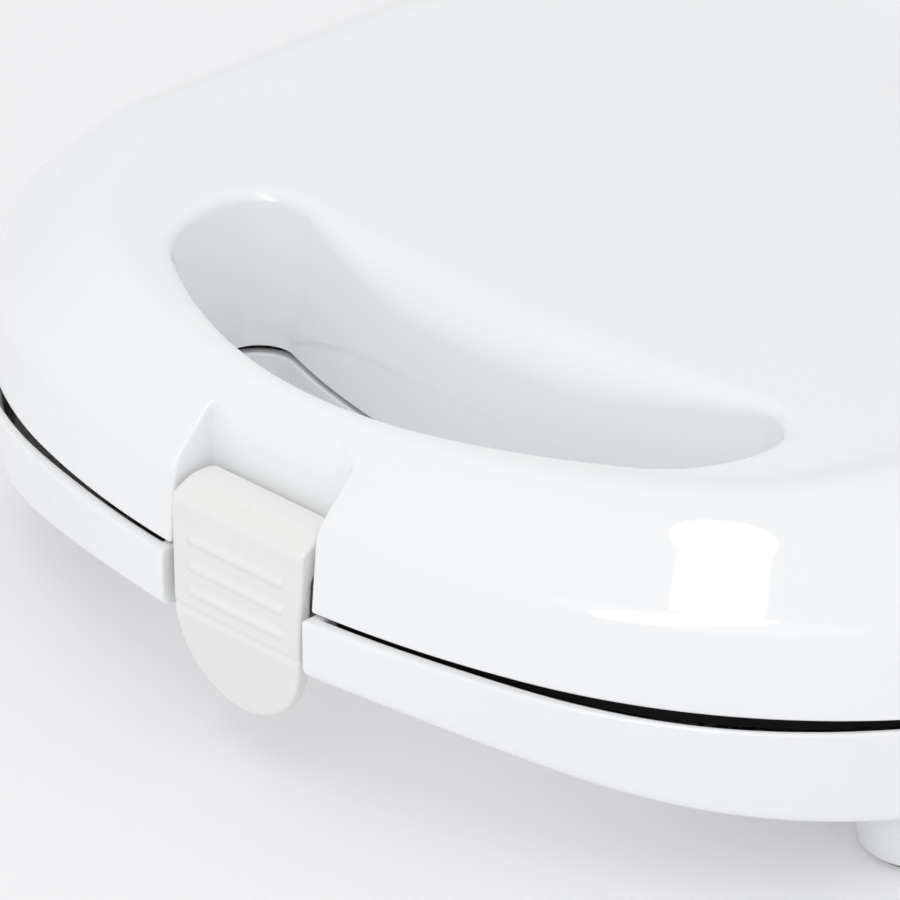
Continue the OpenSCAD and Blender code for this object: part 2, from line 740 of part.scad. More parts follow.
module base_casing() {
    floor_top = band_z + wall;
    color(white) place() {
        difference() {
            union() {
                sweep(casing_outline, base_section);
                translate([0, 0, band_z]) linear_extrude(wall) casing_plan(20);
                tub(0, tub_z, tub_h + 1);
                opening_wall(band_z, base_top_z, wall - opening_draft, wall - opening_draft);
                clip_liner() base_liner_side();
                for (side = [0, 1]) mirror([side, 0, 0]) {
                    base_lug(lug_x - lug_w / 2 - lug_gap - base_lug_w);
                    base_lug(lug_x + lug_w / 2 + lug_gap);
                }
                translate([-land_half, casing_d - land_t, band_z + 1])
                    cube([2 * land_half, land_t, land_h]);
                at_screws(screw_places) translate([0, 0, band_z + 1])
                    cylinder(h = base_boss_h, r = boss_r, $fn = 36);
                for (side = [-1, 1]) translate([side * clamp_x, clamp_y, band_z + 1])
                    cylinder(h = clamp_z - band_z - 1, r = clamp_boss_r, $fn = 36);
                translate([-clamp_x, clamp_y - saddle_d / 2, band_z + 1])
                    cube([2 * clamp_x, saddle_d, gland_z - cord_r - band_z - 1]);
            }
            tub(tub_floor, tub_z + tub_floor, 20);
            translate([0, 0, band_z - 1]) linear_extrude(band_h + 2)
                opening_plan(opening_draft + 1);
            sweep(opening_outline, base_lip_cut);
            translate([-recess_half, -5, -40]) cube([2 * recess_half, recess_d + 5, 60]);
            translate([0, hinge_y, hinge_z]) x_cylinder(hinge_pin_r + seat_gap, -80, 80);
            translate([0, casing_d + 5, gland_z]) rotate([90, 0, 0])
                cylinder(h = 12, r = gland_r, $fn = 48);
            at_screws(screw_places) {
                translate([0, 0, band_z - 1]) cylinder(h = 12, r = screw_r + 0.1, $fn = 36);
                translate([0, 0, band_z - 1])
                    cylinder(h = 1 + well_h, r = screw_head_r + 0.2, $fn = 36);
            }
            for (side = [-1, 1]) translate([side * clamp_x, clamp_y, floor_top])
                cylinder(h = 10, r = screw_r + seat_gap, $fn = 36);
            at_feet() cylinder(h = foot_h + wall + 1, r = foot_peg_r + seat_gap, $fn = 48);
        }
        catch_bar();
    }
}

// The bar in the base's notch that the clip hooks under.
module catch_bar() {
    translate([-recess_half - 0.5, catch_y, catch_z])
        cube([2 * recess_half + 1, recess_d - catch_y + 0.5, catch_h]);
}

// Four feet, each held by a peg pressed through the floor above it.
module case_feet() {
    color(white) place() {
        difference() {
            at_feet() cylinder(h = foot_h, r1 = foot_bottom_r, r2 = foot_top_r, $fn = 64);
            tub(-run_gap, tub_z - run_gap, tub_h + 1);
            at_feet() translate([0, 0, -1])
                cylinder(h = 1 + pad_t - pad_out, r = pad_recess_r, $fn = 48);
        }
        for (side = [-1, 1], i = [0, 1]) let (p = foot_places[i], top = foot_floor_tops[i])
            translate([side * p[0], p[1], foot_z + 2])
                cylinder(h = top + foot_peg_up - foot_z - 2, r = foot_peg_r, $fn = 48);
    }
}

module foot_pads() {
    color([0.20, 0.20, 0.21]) place() at_feet() translate([0, 0, -pad_out])
        cylinder(h = pad_t, r = pad_recess_r - 0.1, $fn = 48);
}

module base_surround() {
    post_r = 3.6;
    flange_z = lower_face_z - plate_t;
    slab_z = lower_surround_z - surround_t;
    color(black) place() difference() {
        union() {
            surround_slab(slab_z);
            plate_ledge(flange_z, lower_surround_z, -1);
            pads_for_plate_screws(flange_z, -1);
            at_screws(screw_places) translate([0, 0, base_boss_z + 0.1])
                cylinder(h = slab_z - base_boss_z + 0.1, r = post_r, $fn = 36);
        }
        at_plate_screws() translate([0, 0, -12]) cylinder(h = 12, r = stud_r + seat_gap, $fn = 36);
        at_screws(screw_places) translate([0, 0, base_boss_z - 1])
            cylinder(h = slab_z - base_boss_z + 0.4, r = screw_r + seat_gap, $fn = 36);
    }
}

module lower_plate() {
    color(black) place() lower_side() plate_body();
}

module lower_element() {
    color(steel) place() lower_side() element_body();
}

module lower_reflector() {
    color(aluminium) place() lower_side() reflector_body();
}

module lower_plate_screws() {
    color(steel) place() lower_side() plate_screw_set();
}

module base_screws() {
    color(steel) place() at_screws(screw_places) {
        translate([0, 0, band_z + 1]) cylinder(h = well_h - 1, r = screw_head_r, $fn = 36);
        translate([0, 0, band_z + well_h]) cylinder(h = 9.6, r = screw_r, $fn = 36);
    }
}

module lower_thermostat() {
    color(aluminium) place()
        translate([-pocket_x, pocket_y, lower_face_z - plate_t - reflector_h]) mirror([0, 0, 1])
            thermostat_body();
}

module thermal_fuse() {
    r = 2;
    color(steel) place() translate([0, pocket_y, lower_face_z - plate_t - reflector_h - r]) {
        x_cylinder(r, pocket_x - 6, pocket_x + 6);
        x_cylinder(0.6, pocket_x - 14, pocket_x + 14);
    }
}

module cord_gland() {
    color(white) place() difference() {
        union() {
            translate([0, casing_d + run_gap, gland_z]) rotate([-90, 0, 0])
                cylinder(h = 2, r = gland_flange_r, $fn = 48);
            translate([0, casing_d + 2, gland_z]) rotate([-90, 0, 0])
                cylinder(h = 7.5, r1 = gland_flange_r - 1, r2 = gland_flange_r - 2, $fn = 48);
            translate([0, casing_d - gland_in, gland_z]) rotate([-90, 0, 0])
                cylinder(h = gland_in + 1, r = gland_r - run_gap, $fn = 48);
            translate([0, casing_d - gland_in - 0.6, gland_z]) rotate([-90, 0, 0])
                cylinder(h = gland_collar_t, r = gland_r + 0.3, $fn = 48);
        }
        translate([0, casing_d - 10, gland_z]) rotate([-90, 0, 0]) cylinder(h = 30, r = cord_r, $fn = 48);
    }
}

module cord_clamp() {
    half = clamp_x + 3.5;
    color([0.80, 0.80, 0.78]) place() difference() {
        translate([-half, clamp_y - 3, clamp_z]) cube([2 * half, 6, clamp_t]);
        translate([0, clamp_y + 8, gland_z]) rotate([90, 0, 0]) cylinder(h = 20, r = cord_r, $fn = 48);
        for (side = [-1, 1]) translate([side * clamp_x, clamp_y, clamp_z - 1]) {
            cylinder(h = 10, r = screw_r + 0.1, $fn = 36);
            translate([0, 0, clamp_t + 1 - clamp_head_h])
                cylinder(h = 5, r = clamp_head_r + 0.2, $fn = 36);
        }
    }
}

module clamp_screws() {
    color(steel) place() for (side = [-1, 1]) translate([side * clamp_x, clamp_y, clamp_z]) {
        translate([0, 0, clamp_t - clamp_head_h])
            cylinder(h = clamp_head_h, r = clamp_head_r, $fn = 36);
        translate([0, 0, -4]) cylinder(h = clamp_t + 3, r = screw_r, $fn = 36);
    }
}

module terminal_block() {
    floor_top = band_z + wall;
    color([0.85, 0.85, 0.80]) place() difference() {
        translate([block_x, block_y, floor_top]) cube([block_w, block_d, block_h]);
        for (i = [0:2]) translate([block_x + block_w / 6 * (2 * i + 1), block_y + 6.4, floor_top + 3])
            cylinder(h = block_h, r = terminal_r, $fn = 36);
    }
}

// Two insulated wires from the terminal block to the ends of the lower element.
module base_wires() {
    y = block_y + 1;
    wire_z = lower_face_z - plate_t - wire_drop;
    pin_under_z = lower_face_z - plate_t - tube_r - tube_pin_r;
    color([0.60, 0.16, 0.12]) place() translate([0, y, wire_z]) {
        x_cylinder(wire_r, -tube_side_x, block_x);
        x_cylinder(wire_r, block_x + block_w, tube_side_x);
        for (side = [-1, 1]) translate([side * tube_side_x, 0, 0]) {
            sphere(r = wire_r, $fn = 32);
            cylinder(h = pin_under_z - wire_z, r = wire_r, $fn = 48);
        }
    }
}

module hinge_pins() {
    head_x = lug_x - lug_w / 2 - lug_gap - base_lug_w;
    end_x = lug_x + lug_w / 2 + lug_gap + base_lug_w;
    head_t = 1.4;
    color(steel) place() for (side = [0, 1]) mirror([side, 0, 0]) translate([0, hinge_y, hinge_z]) {
        x_cylinder(hinge_pin_r, head_x - head_t / 2, end_x + 0.6);
        x_cylinder(hinge_pin_r + 1.2, head_x - head_t, head_x);
    }
}

base_casing();
case_feet();
foot_pads();
base_surround();
lower_plate();
lower_element();
lower_reflector();
lower_plate_screws();
base_screws();
lower_thermostat();
thermal_fuse();
cord_gland();
cord_clamp();
clamp_screws();
terminal_block();
base_wires();
hinge_pins();
lid_casing();
lid_surround();
upper_plate();
upper_element();
upper_reflector();
upper_plate_screws();
lid_screws();
upper_thermostat();
power_lens();
ready_lens();
lamp_holder();
neon_lamps();
latch_pin();
latch();
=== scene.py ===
"""Dresses the sandwich toaster: smooth moulded casings, clip and plates, and a finish for each piece.

Lengths are in millimetres from the middle of the lid's front lower edge, with X to the right, Y to
the back and Z up, until a mesh is made. to_frame() then moves them to the part's own frame.
"""

import json
import math

import bpy
import numpy as np
from mathutils import Matrix, Vector


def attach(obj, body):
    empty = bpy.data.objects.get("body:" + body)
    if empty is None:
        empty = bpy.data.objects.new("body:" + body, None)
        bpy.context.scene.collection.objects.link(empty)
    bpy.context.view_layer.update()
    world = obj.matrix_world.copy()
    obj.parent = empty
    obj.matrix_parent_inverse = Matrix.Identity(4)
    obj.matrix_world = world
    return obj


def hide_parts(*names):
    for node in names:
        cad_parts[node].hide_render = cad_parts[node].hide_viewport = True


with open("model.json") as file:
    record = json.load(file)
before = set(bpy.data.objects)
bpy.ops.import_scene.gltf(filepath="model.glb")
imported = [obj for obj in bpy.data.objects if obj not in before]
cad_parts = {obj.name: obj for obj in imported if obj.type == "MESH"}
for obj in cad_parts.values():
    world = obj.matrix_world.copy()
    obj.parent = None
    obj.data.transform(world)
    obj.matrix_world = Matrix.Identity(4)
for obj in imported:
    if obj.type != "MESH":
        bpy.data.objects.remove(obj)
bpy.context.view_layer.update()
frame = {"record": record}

# ---------- sizes, in millimetres ----------

CASING_W = 225.0
CASING_D = 212.0
# Radius and turn, in degrees, of the arcs from the middle of the front up to the corner's own arc.
CASING_ARCS = [(177.55, 17.41), (97.2, 37.99)]
CASING_REAR_R = 42.0
WALL = 2.5
GAP = 1.4
MIDDLE_Y = 111.05
GROUND_Z = -33.0

EDGE_H = 10.7
EDGE_LEAN = 0.95
SHOULDER_R = 7.0
SLOPE_L = 9.2
DOME_R = 24.0
PANEL_Z = 26.36
RIM_ROLL = 5.0
PANEL_FILLET = 2.0
PANEL_ARCS = [(104.0, 36), (32.0, 34), (86.0, 20)]
PANEL_REAR_Y = CASING_D - 30.0
PANEL_REAR_R = 16.0

OPENING_Y = 17.0
OPENING_ARCS = [(78.0, 20), (110.0, 13.5), (22.5, 56.5), (9.4, 110)]
OPENING_REAR_TURN = 20
OPENING_DRAFT = 3.4
NEAR_LIP_R = 2.4
REAR_LIP_R = 8.0
# Where the lip passes from near to rear, and how far from the middle it is still soft.
LIP_FADE_Y = (30, 50)
LIP_SOFT_X = (15, 55)

RECESS_HALF = 15.35
RECESS_D = 10.25
RECESS_RIM_R = 0.7
RECESS_BACK_R = 4.0
RECESS_CORNER_R = 1.2

BASE_TOP_Z = -GAP
BAND_Z = BASE_TOP_Z - 15.6
BAND_LEAN = 9.2
BAND_FILLET = 2.4
# The front of the base: how far its band stands out, and how much its lower edge lies higher in the
# middle and lower at the corners. The fades say over which X or Y each of these passes away.
BAND_PROUD = 2.0
BAND_MIDDLE_RISE = 6.3
BAND_CORNER_DROP = 1.8
RIM_RISE = 0.75
FRONT_FADE_Y = (46, 60)
PROUD_FADE_Y = (15, 60)
LEAN_FADE_X = (15, 60)
LIFT_FADE_X = (20, 98)
# The ledge's width in the middle and at the sides, and the groove behind it.
LEDGE = (2.4, 1.1)
LEDGE_FADE_X = (30, 85)
GROOVE_DROP = 6.0
GROOVE_INNER = 4.5
GROOVE_END_Y = 150.0
NOTCH_WALL = 1.2
TUB_Z = BAND_Z - 7.0
TUB_INSET = 14.0
TUB_Y = (61.0, 195.0)
FOOT_PLACES = [(88.0, 58.0), (84.0, 186.0)]
FOOT_Z = -32.0
FOOT_R = (12.5, 10.5)
CATCH_Y = 4.2
CATCH_Z = -11.2
CATCH_H = 3.0

CASE_SCREWS = [(66.0, 34.0), (105.4, 128.0), (82.0, 200.5)]
WELL_R = 2.8
WELL_H = 2.4
# The flat land of the cord's gland: half width, middle height, half height.
LAND = (9.0, -9.6, 6.4)
LAND_T = 4.5
GLAND_R = 5.2
GLAND_Z = -8.7
GLAND_Y = CASING_D - 6.0

HINGE_Y = 218.5
HINGE_Z = -0.7
BARREL_R = 5.0
HINGE_PIN_R = 2.05
LUG_X = 58.0
LUG_W = 12.0
BASE_LUG_W = 6.4
LUG_GAP = 0.4

CLIP_PIVOT = (5.8, 8.4)
CLIP_HALF = 14.0
CLIP_TAPER = 0.04
CLIP_T = 2.6
CLIP_BARREL_R = 3.9
CLIP_FACE_Y = 0.05
CLIP_FACE_LEAN = 0.03
CLIP_BORE_R = 1.55
CREASE_Z = -9.0
TONGUE_H = 14.2
TONGUE_TURN = 6.0
GRIP_ZS = (3.1, -1.4, -5.5)
GRIP_R = 0.75
GRIP_MARGIN = 4.5
HOOK_HALF = 11.0
HOOK_Y = (1.0, 6.0)
HOOK_H = 2.4
HOOK_CLEARANCE = 0.4

PLATE_Y = 64.0
PLATE_W = 198.0
PLATE_D = 128.0
PLATE_T = 2.5
PLATE_CORNER_R = 14.0
PLATE_SCREWS = [(92.7, 70.3), (60.0, 188.4)]
POCKET_H = 11.5
POCKET_W = 80.0
POCKET_D = 102.0
POCKET_X = 45.0
POCKET_Y = PLATE_Y + PLATE_D / 2 + 1.4
POCKET_R = (7.0, 3.5)
RIDGE = 7.0
BLOCK_WALL = 2.2
UPPER_FACE_Z = -0.35
LOWER_FACE_Z = BASE_TOP_Z + 0.3


# ---------- fields ----------
# A field is negative inside a solid, positive outside it, and close to the distance from its skin.


def deep_max(a, b, r):
    """Meeting of two fields, with an outer edge rounded by r."""
    both = np.hypot(np.maximum(a + r, 0.0), np.maximum(b + r, 0.0))
    return np.minimum(-r, np.maximum(a, b)) + both


def soft_min(a, b, r):
    """Union of two fields, with an inner corner filled by r."""
    return -deep_max(-a, -b, r)


def ramp(value, low, high):
    t = np.clip((value - low) / (high - low), 0.0, 1.0)
    return t * t * (3.0 - 2.0 * t)


class Path:
    """A plane curve of straight and round moves; distance() is positive on its right side."""

    def __init__(self, start, heading, *moves):
        self.parts = []
        point = np.array(start, float)
        for length, turn in moves:
            a = math.radians(heading)
            along = np.array([math.cos(a), math.sin(a)])
            if turn == 0:
                self.parts.append(("line", point, along, length))
                point = point + along * length
                continue
            side = math.copysign(1.0, turn)
            left = np.array([-along[1], along[0]])
            centre = point + side * length * left
            heading += turn
            b = math.radians(heading)
            self.parts.append(("arc", centre, length, (a + b) / 2, abs(b - a) / 2, side))
            point = centre - side * length * np.array([-math.sin(b), math.cos(b)])
        self.end = point
        self.heading = heading

    def distance(self, u, v):
        best = np.full(np.broadcast(u, v).shape, 1e9)
        for kind, *data in self.parts:
            if kind == "line":
                signed = self._from_line(u, v, *data)
            else:
                signed = self._from_arc(u, v, *data)
            best = np.where(np.abs(signed) < np.abs(best), signed, best)
        return best

    @staticmethod
    def _from_line(u, v, start, along, length):
        du, dv = u - start[0], v - start[1]
        t = du * along[0] + dv * along[1]
        right = du * along[1] - dv * along[0]
        past = t - np.clip(t, 0.0, length)
        return np.where(right < 0, -1.0, 1.0) * np.hypot(right, past)

    @staticmethod
    def _from_arc(u, v, centre, r, middle, half, side):
        du, dv = u - centre[0], v - centre[1]
        heading = np.arctan2(dv, du) + side * math.pi / 2
        off = np.remainder(heading - middle + math.pi, 2 * math.pi) - math.pi
        at = middle + np.clip(off, -half, half) - side * math.pi / 2
        away = side * (np.hypot(du, dv) - r)
        apart = np.hypot(du - r * np.cos(at), dv - r * np.sin(at))
        return np.where(away < 0, -1.0, 1.0) * apart

    def at(self, s):
        """Point and right-hand normal at a distance along the path."""
        for kind, *data in self.parts[:-1]:
            span = self._span(kind, data)
            if s <= span:
                break
            s -= span
        else:
            kind, *data = self.parts[-1]
        if kind == "line":
            start, along, _ = data
            return start + along * s, np.array([along[1], -along[0]])
        centre, r, middle, half, side = data
        heading = middle + side * (s / r - half)
        normal = np.array([math.sin(heading), -math.cos(heading)])
        return centre + side * r * normal, normal

    @staticmethod
    def _span(kind, data):
        return data[2] if kind == "line" else 2 * data[3] * data[1]

    def length(self):
        return sum(self._span(kind, data) for kind, *data in self.parts)


def closed_plan(y0, arcs, half, rear_y, rear_r):
    """Right half of a casing-like outline: arcs to the side, then a rear corner."""
    front = Path((0, y0), 0, *arcs)
    side = rear_y - rear_r - front.end[1]
    return Path((0, y0), 0, *arcs, (side, 0), (rear_r, 90), (half - rear_r, 0))


def corner_radius():
    """Radius of the casing's front corners, which closes its width."""
    (middle_r, middle_turn), (side_r, side_turn) = CASING_ARCS
    middle = math.sin(math.radians(middle_turn))
    side = math.sin(math.radians(middle_turn + side_turn))
    reach = middle_r * middle + side_r * (side - middle)
    return (CASING_W / 2 - reach) / (1 - side)


corner_arc = (corner_radius(), 90 - sum(turn for _, turn in CASING_ARCS))
casing = closed_plan(0, CASING_ARCS + [corner_arc], CASING_W / 2, CASING_D, CASING_REAR_R)
panel = closed_plan(OPENING_Y, PANEL_ARCS, Path((0, 0), 0, *PANEL_ARCS).end[0], PANEL_REAR_Y, PANEL_REAR_R)
opening_end = Path((0, OPENING_Y), 0, *OPENING_ARCS).end
rear_r = opening_end[0] / math.sin(math.radians(OPENING_REAR_TURN))
opening = Path((0, OPENING_Y), 0, *OPENING_ARCS, (rear_r, -OPENING_REAR_TURN))

lean = math.degrees(math.atan(EDGE_LEAN / EDGE_H))
edge_way = np.array([-math.sin(math.radians(lean)), math.cos(math.radians(lean))])
lid_side = Path(-6 * edge_way, 90 + lean, (6 + EDGE_H / math.cos(math.radians(lean)), 0),
                (SHOULDER_R, 45 - lean), (SLOPE_L, 0), (DOME_R, 45), (200, 0))


def hole_field(x, y, z):
    """The finger opening, which widens towards the top of the lid."""
    draft = OPENING_DRAFT * np.clip((PANEL_Z - z) / PANEL_Z, 0.0, 1.0)
    return opening.distance(np.abs(x), y) + draft


def recess_field(x, y):
    """The recess for the clip, which cuts through the front of both casings."""
    return deep_max(np.abs(x) - RECESS_HALF, y - RECESS_D, RECESS_CORNER_R)


def lid_form(x, y, z):
    """The lid's outer skin, open below."""
    plan = casing.distance(np.abs(x), y)
    body = lid_side.distance(plan, z)
    wall = (panel.distance(np.abs(x), y) - (z - PANEL_Z)) * math.sqrt(0.5)
    body = deep_max(body, -deep_max(wall, PANEL_Z - z, PANEL_FILLET), RIM_ROLL)
    softer = ramp(y, *LIP_FADE_Y) * ramp(LIP_SOFT_X[1] - np.abs(x), 0, LIP_SOFT_X[1] - LIP_SOFT_X[0])
    lip = NEAR_LIP_R + (REAR_LIP_R - NEAR_LIP_R) * softer
    body = deep_max(body, -hole_field(x, y, z), lip)
    rim = RECESS_RIM_R + (RECESS_BACK_R - RECESS_RIM_R) * ramp(RECESS_HALF - np.abs(x), 0.5, 5)
    return deep_max(body, -recess_field(x, y), rim)


def lid_field(x, y, z):
    """The lid: a shell under its outer skin."""
    form = lid_form(x, y, z)
    shell = np.maximum(form, -(form + WALL))
    return deep_max(shell, -z, 0.35)


def screw_holes(x, y, places, r):
    """Distance from mirrored round holes of radius r."""
    apart = [np.hypot(np.abs(x) - place[0], y - place[1]) for place in places]
    return np.minimum.reduce(apart) - r


def base_form(x, y, z):
    """The base's outer skin, open above.

    At the front its band is shallow and upright in the middle, and deep and leaning at the corners.
    """
    across = np.abs(x)
    plan = casing.distance(across, y)
    front = 1 - ramp(y, *FRONT_FADE_Y)
    a = np.radians(BAND_LEAN) * (1 - front * (1 - ramp(across, *LEAN_FADE_X)))
    proud = BAND_PROUD * (1 - ramp(y, *PROUD_FADE_Y))
    side = (plan - proud + (BASE_TOP_Z - z) * np.tan(a)) * np.cos(a)
    lift = BAND_MIDDLE_RISE - (BAND_MIDDLE_RISE + BAND_CORNER_DROP) * ramp(across, *LIFT_FADE_X)
    body = deep_max(side, BAND_Z + front * lift - z, BAND_FILLET)
    tub = deep_max(plan + TUB_INSET, np.maximum(TUB_Y[0] - y, y - TUB_Y[1]), 8.0)
    body = soft_min(body, deep_max(tub, TUB_Z - z, 2.0), 1.0)
    body = deep_max(body, -hole_field(x, y, 0 * z), 1.2)
    return deep_max(body, -recess_field(x, y), RECESS_RIM_R)


def base_field(x, y, z):
    """The base: a shell with a ledge and a groove at its rim, the catch bar and the screw wells."""
    form = base_form(x, y, z)
    shell = np.maximum(form, -(form + WALL))
    across = np.abs(x)
    outward = ramp(across, *LEDGE_FADE_X)
    rim = BASE_TOP_Z + RIM_RISE * (1 - outward) * (1 - ramp(y, *FRONT_FADE_Y))
    shell = deep_max(shell, z - rim, 0.5)
    ledge = LEDGE[0] + (LEDGE[1] - LEDGE[0]) * outward
    groove = np.maximum.reduce([form + ledge, -GROOVE_INNER - casing.distance(across, y),
                                rim - GROOVE_DROP - z, NOTCH_WALL - recess_field(x, y),
                                y - GROOVE_END_Y + 0 * x])
    shell = deep_max(shell, -groove, 0.2)
    bar = np.maximum(across - RECESS_HALF - 1, np.abs(z - CATCH_Z - CATCH_H / 2) - CATCH_H / 2)
    bar = np.maximum(bar, np.maximum(CATCH_Y - y, y - RECESS_D - 1))
    land = deep_max(np.maximum(across - LAND[0], np.abs(z - LAND[1]) - LAND[2]),
                    np.abs(y - CASING_D + LAND_T / 2) - LAND_T / 2, 0.4)
    body = np.minimum(soft_min(shell, land, 0.8), bar)
    gland = np.maximum(GLAND_R - np.hypot(x, z - GLAND_Z), GLAND_Y - y)
    wells = np.maximum(screw_holes(x, y, CASE_SCREWS, WELL_R), z - BAND_Z - WELL_H)
    return np.where(y > GLAND_Y, np.maximum(body, gland), deep_max(body, -wells, 0.2))


# ---------- meshes ----------


def to_frame(points):
    return (np.asarray(points, float) + (0.0, -MIDDLE_Y, -GROUND_Z)) * 0.001


def slopes(field, p, step=0.02):
    """Gradient of a field at points."""
    g = np.empty_like(p)
    for axis in range(3):
        ahead, behind = p.copy(), p.copy()
        ahead[:, axis] += step
        behind[:, axis] -= step
        g[:, axis] = (field(*ahead.T) - field(*behind.T)) / (2 * step)
    return g


CORNERS = [(i, j, k) for i in (0, 1) for j in (0, 1) for k in (0, 1)]
EDGES = [(a, b) for a in range(8) for b in range(a + 1, 8)
         if sum(abs(p - q) for p, q in zip(CORNERS[a], CORNERS[b])) == 1]


def skin(field, grid, ring):
    """Vertices, quads and normals of a field's skin on a grid of nodes, which may close in a ring.

    The grid has shape (n, m, k, 3). Each cell that the skin crosses gets a vertex, which is then
    pulled onto the skin, and each crossed grid edge gets a quad.
    """
    value = field(grid[..., 0], grid[..., 1], grid[..., 2])
    if ring:
        grid = np.concatenate([grid, grid[:1]])
        value = np.concatenate([value, value[:1]])
    inside = value < 0
    cells = [slice(0, -1), slice(1, None)]
    count = sum(inside[cells[i], cells[j], cells[k]].astype(np.int8) for i, j, k in CORNERS)
    active = (count > 0) & (count < 8)
    where = np.argwhere(active)
    index = np.full(active.shape, -1)
    index[active] = np.arange(len(where))

    values = np.stack([value[tuple((where + c).T)] for c in CORNERS], 1)
    places = np.stack([grid[tuple((where + c).T)] for c in CORNERS], 1)
    total = np.zeros((len(where), 3))
    hits = np.zeros(len(where))
    for a, b in EDGES:
        crossed = (values[:, a] < 0) != (values[:, b] < 0)
        t = np.where(crossed, values[:, a] / np.where(crossed, values[:, a] - values[:, b], 1), 0)
        total += crossed[:, None] * (places[:, a] + t[:, None] * (places[:, b] - places[:, a]))
        hits += crossed
    points = total / hits[:, None]
    reach = 0.5 * np.linalg.norm(places[:, 7] - places[:, 0], axis=1, keepdims=True)

    for _ in range(3):
        g = slopes(field, points)
        pull = -field(*points.T)[:, None] * g / np.maximum((g * g).sum(1, keepdims=True), 1e-6)
        size = np.maximum(np.linalg.norm(pull, axis=1, keepdims=True), 1e-9)
        points += pull * np.minimum(1.0, reach / size)
    normals = slopes(field, points)
    normals /= np.maximum(np.linalg.norm(normals, axis=1, keepdims=True), 1e-9)

    quads = []
    n = active.shape[0]
    for axis in range(3):
        lower = [slice(None)] * 3
        upper = [slice(None)] * 3
        lower[axis], upper[axis] = cells
        crossed = np.argwhere(inside[tuple(lower)] != inside[tuple(upper)])
        others = [a for a in range(3) if a != axis]
        for a in others:
            if ring and a == 0:
                crossed = crossed[crossed[:, 0] < n]
            else:
                crossed = crossed[(crossed[:, a] > 0) & (crossed[:, a] < active.shape[a])]
        first, second = [(axis + 1) % 3, (axis + 2) % 3]
        around = []
        for back_first, back_second in ((1, 1), (0, 1), (0, 0), (1, 0)):
            cell = crossed.copy()
            cell[:, first] -= back_first
            cell[:, second] -= back_second
            if ring:
                cell[:, 0] %= n
            around.append(index[tuple(cell.T)])
        quad = np.stack(around, 1)
        flip = ~inside[tuple(crossed.T)]
        quad[flip] = quad[flip][:, ::-1]
        quads.append(quad)
    quads = np.concatenate(quads)
    return points, quads[(quads >= 0).all(1)], normals


def new_object(name, points, faces, normals=None):
    """A smooth object in metres, from points in millimetres."""
    mesh = bpy.data.meshes.new(name)
    mesh.from_pydata(to_frame(points).tolist(), [], [list(map(int, f)) for f in faces])
    mesh.polygons.foreach_set("use_smooth", [True] * len(mesh.polygons))
    if normals is not None:
        mesh.normals_split_custom_set_from_vertices(normals.tolist())
    mesh.update()
    obj = bpy.data.objects.new(name, mesh)
    bpy.context.scene.collection.objects.link(obj)
    return obj


def graded(*runs):
    """Levels from runs of (start, end, step); each run starts where the one before ends."""
    levels = []
    for start, end, step in runs:
        n = max(1, round(abs(end - start) / step))
        levels += [start + (end - start) * i / n for i in range(n)]
    return np.array(levels + [runs[-1][1]])


def block(xs, ys, zs):
    """A straight grid of nodes."""
    return np.stack(np.meshgrid(xs, ys, zs, indexing="ij"), -1)


# Rows of nodes beside the casing's outline, from outside inwards, and beside the opening's.
CASING_ROWS = [-2.3, -1.7, -1.4, -1.1, -0.8, -0.5, -0.25, -0.1, 0.12, 0.3, 0.5, 0.75, 1.0, 1.4, 1.9, 2.4,
               2.8, 3.3, 4.0, 4.8, 5.8, 7.0]
OPENING_ROWS = list(graded((4.0, 1.0, 0.75), (1.0, -4.6, 0.45)))
# Where a ray that leaves the opening at the second length meets the casing at the first.
RAYS = [(0, 0), (16, 16), (56.5, 50), (128, 68), (215, 83), (288, 94)]
ROWS_BETWEEN = 64


def plan_rays():
    """Plan places of the nodes: rays from outside the casing to inside the opening, all round."""
    total = casing.length()
    lengths = graded((0, 13.6, 0.8), (13.6, 17.2, 0.22), (17.2, 130, 1.2), (130, total, 2.2))
    keys = RAYS + [(total, opening.length())]
    inner = np.interp(lengths, [k[0] for k in keys], [k[1] for k in keys])
    rays = []
    for s, t in zip(lengths, inner):
        outer_point, outer_normal = casing.at(min(s, total - 1e-6))
        inner_point, inner_normal = opening.at(min(t, opening.length() - 1e-6))
        first = [outer_point - d * outer_normal for d in CASING_ROWS]
        last = [inner_point + d * inner_normal for d in OPENING_ROWS]
        fine = np.linspace(0, 1, 240)[:, None]
        way = first[-1] * (1 - fine) + last[0] * fine
        across, back = np.abs(way[:, 0]), way[:, 1]
        near = panel.distance(across, back)
        tub_wall = back - TUB_Y[0] - WALL / 2
        slope = casing.distance(across, back) + 11.5
        # The rows crowd at the panel's edge, at the tub's front wall and under the lid's shoulder.
        crowd = np.cumsum(1 + 3.5 * np.exp(-(near / 4.0) ** 2) + 1.6 * np.exp(-(tub_wall / 3.0) ** 2)
                          + 1.4 * np.exp(-(slope / 4.0) ** 2))
        share = np.interp(np.linspace(0, 1, ROWS_BETWEEN + 2)[1:-1],
                          (crowd - crowd[0]) / (crowd[-1] - crowd[0]), fine[:, 0])[:, None]
        middle = first[-1] * (1 - share) + last[0] * share
        rays.append(np.concatenate([first, middle, last]))
    half = np.array(rays)
    mirror = half[-2:0:-1] * (-1, 1)
    return np.concatenate([half, mirror])


def ring_grid(levels):
    """Nodes round the casing: the rays' plan places at each level."""
    plan = plan_rays()
    grid = np.empty(plan.shape[:2] + (len(levels), 3))
    grid[..., :2] = plan[:, :, None, :]
    grid[..., 2] = levels
    return grid


def moulded(name, field, grid, ring=False):
    """An object from a field's skin."""
    return new_object(name, *skin(field, grid, ring))


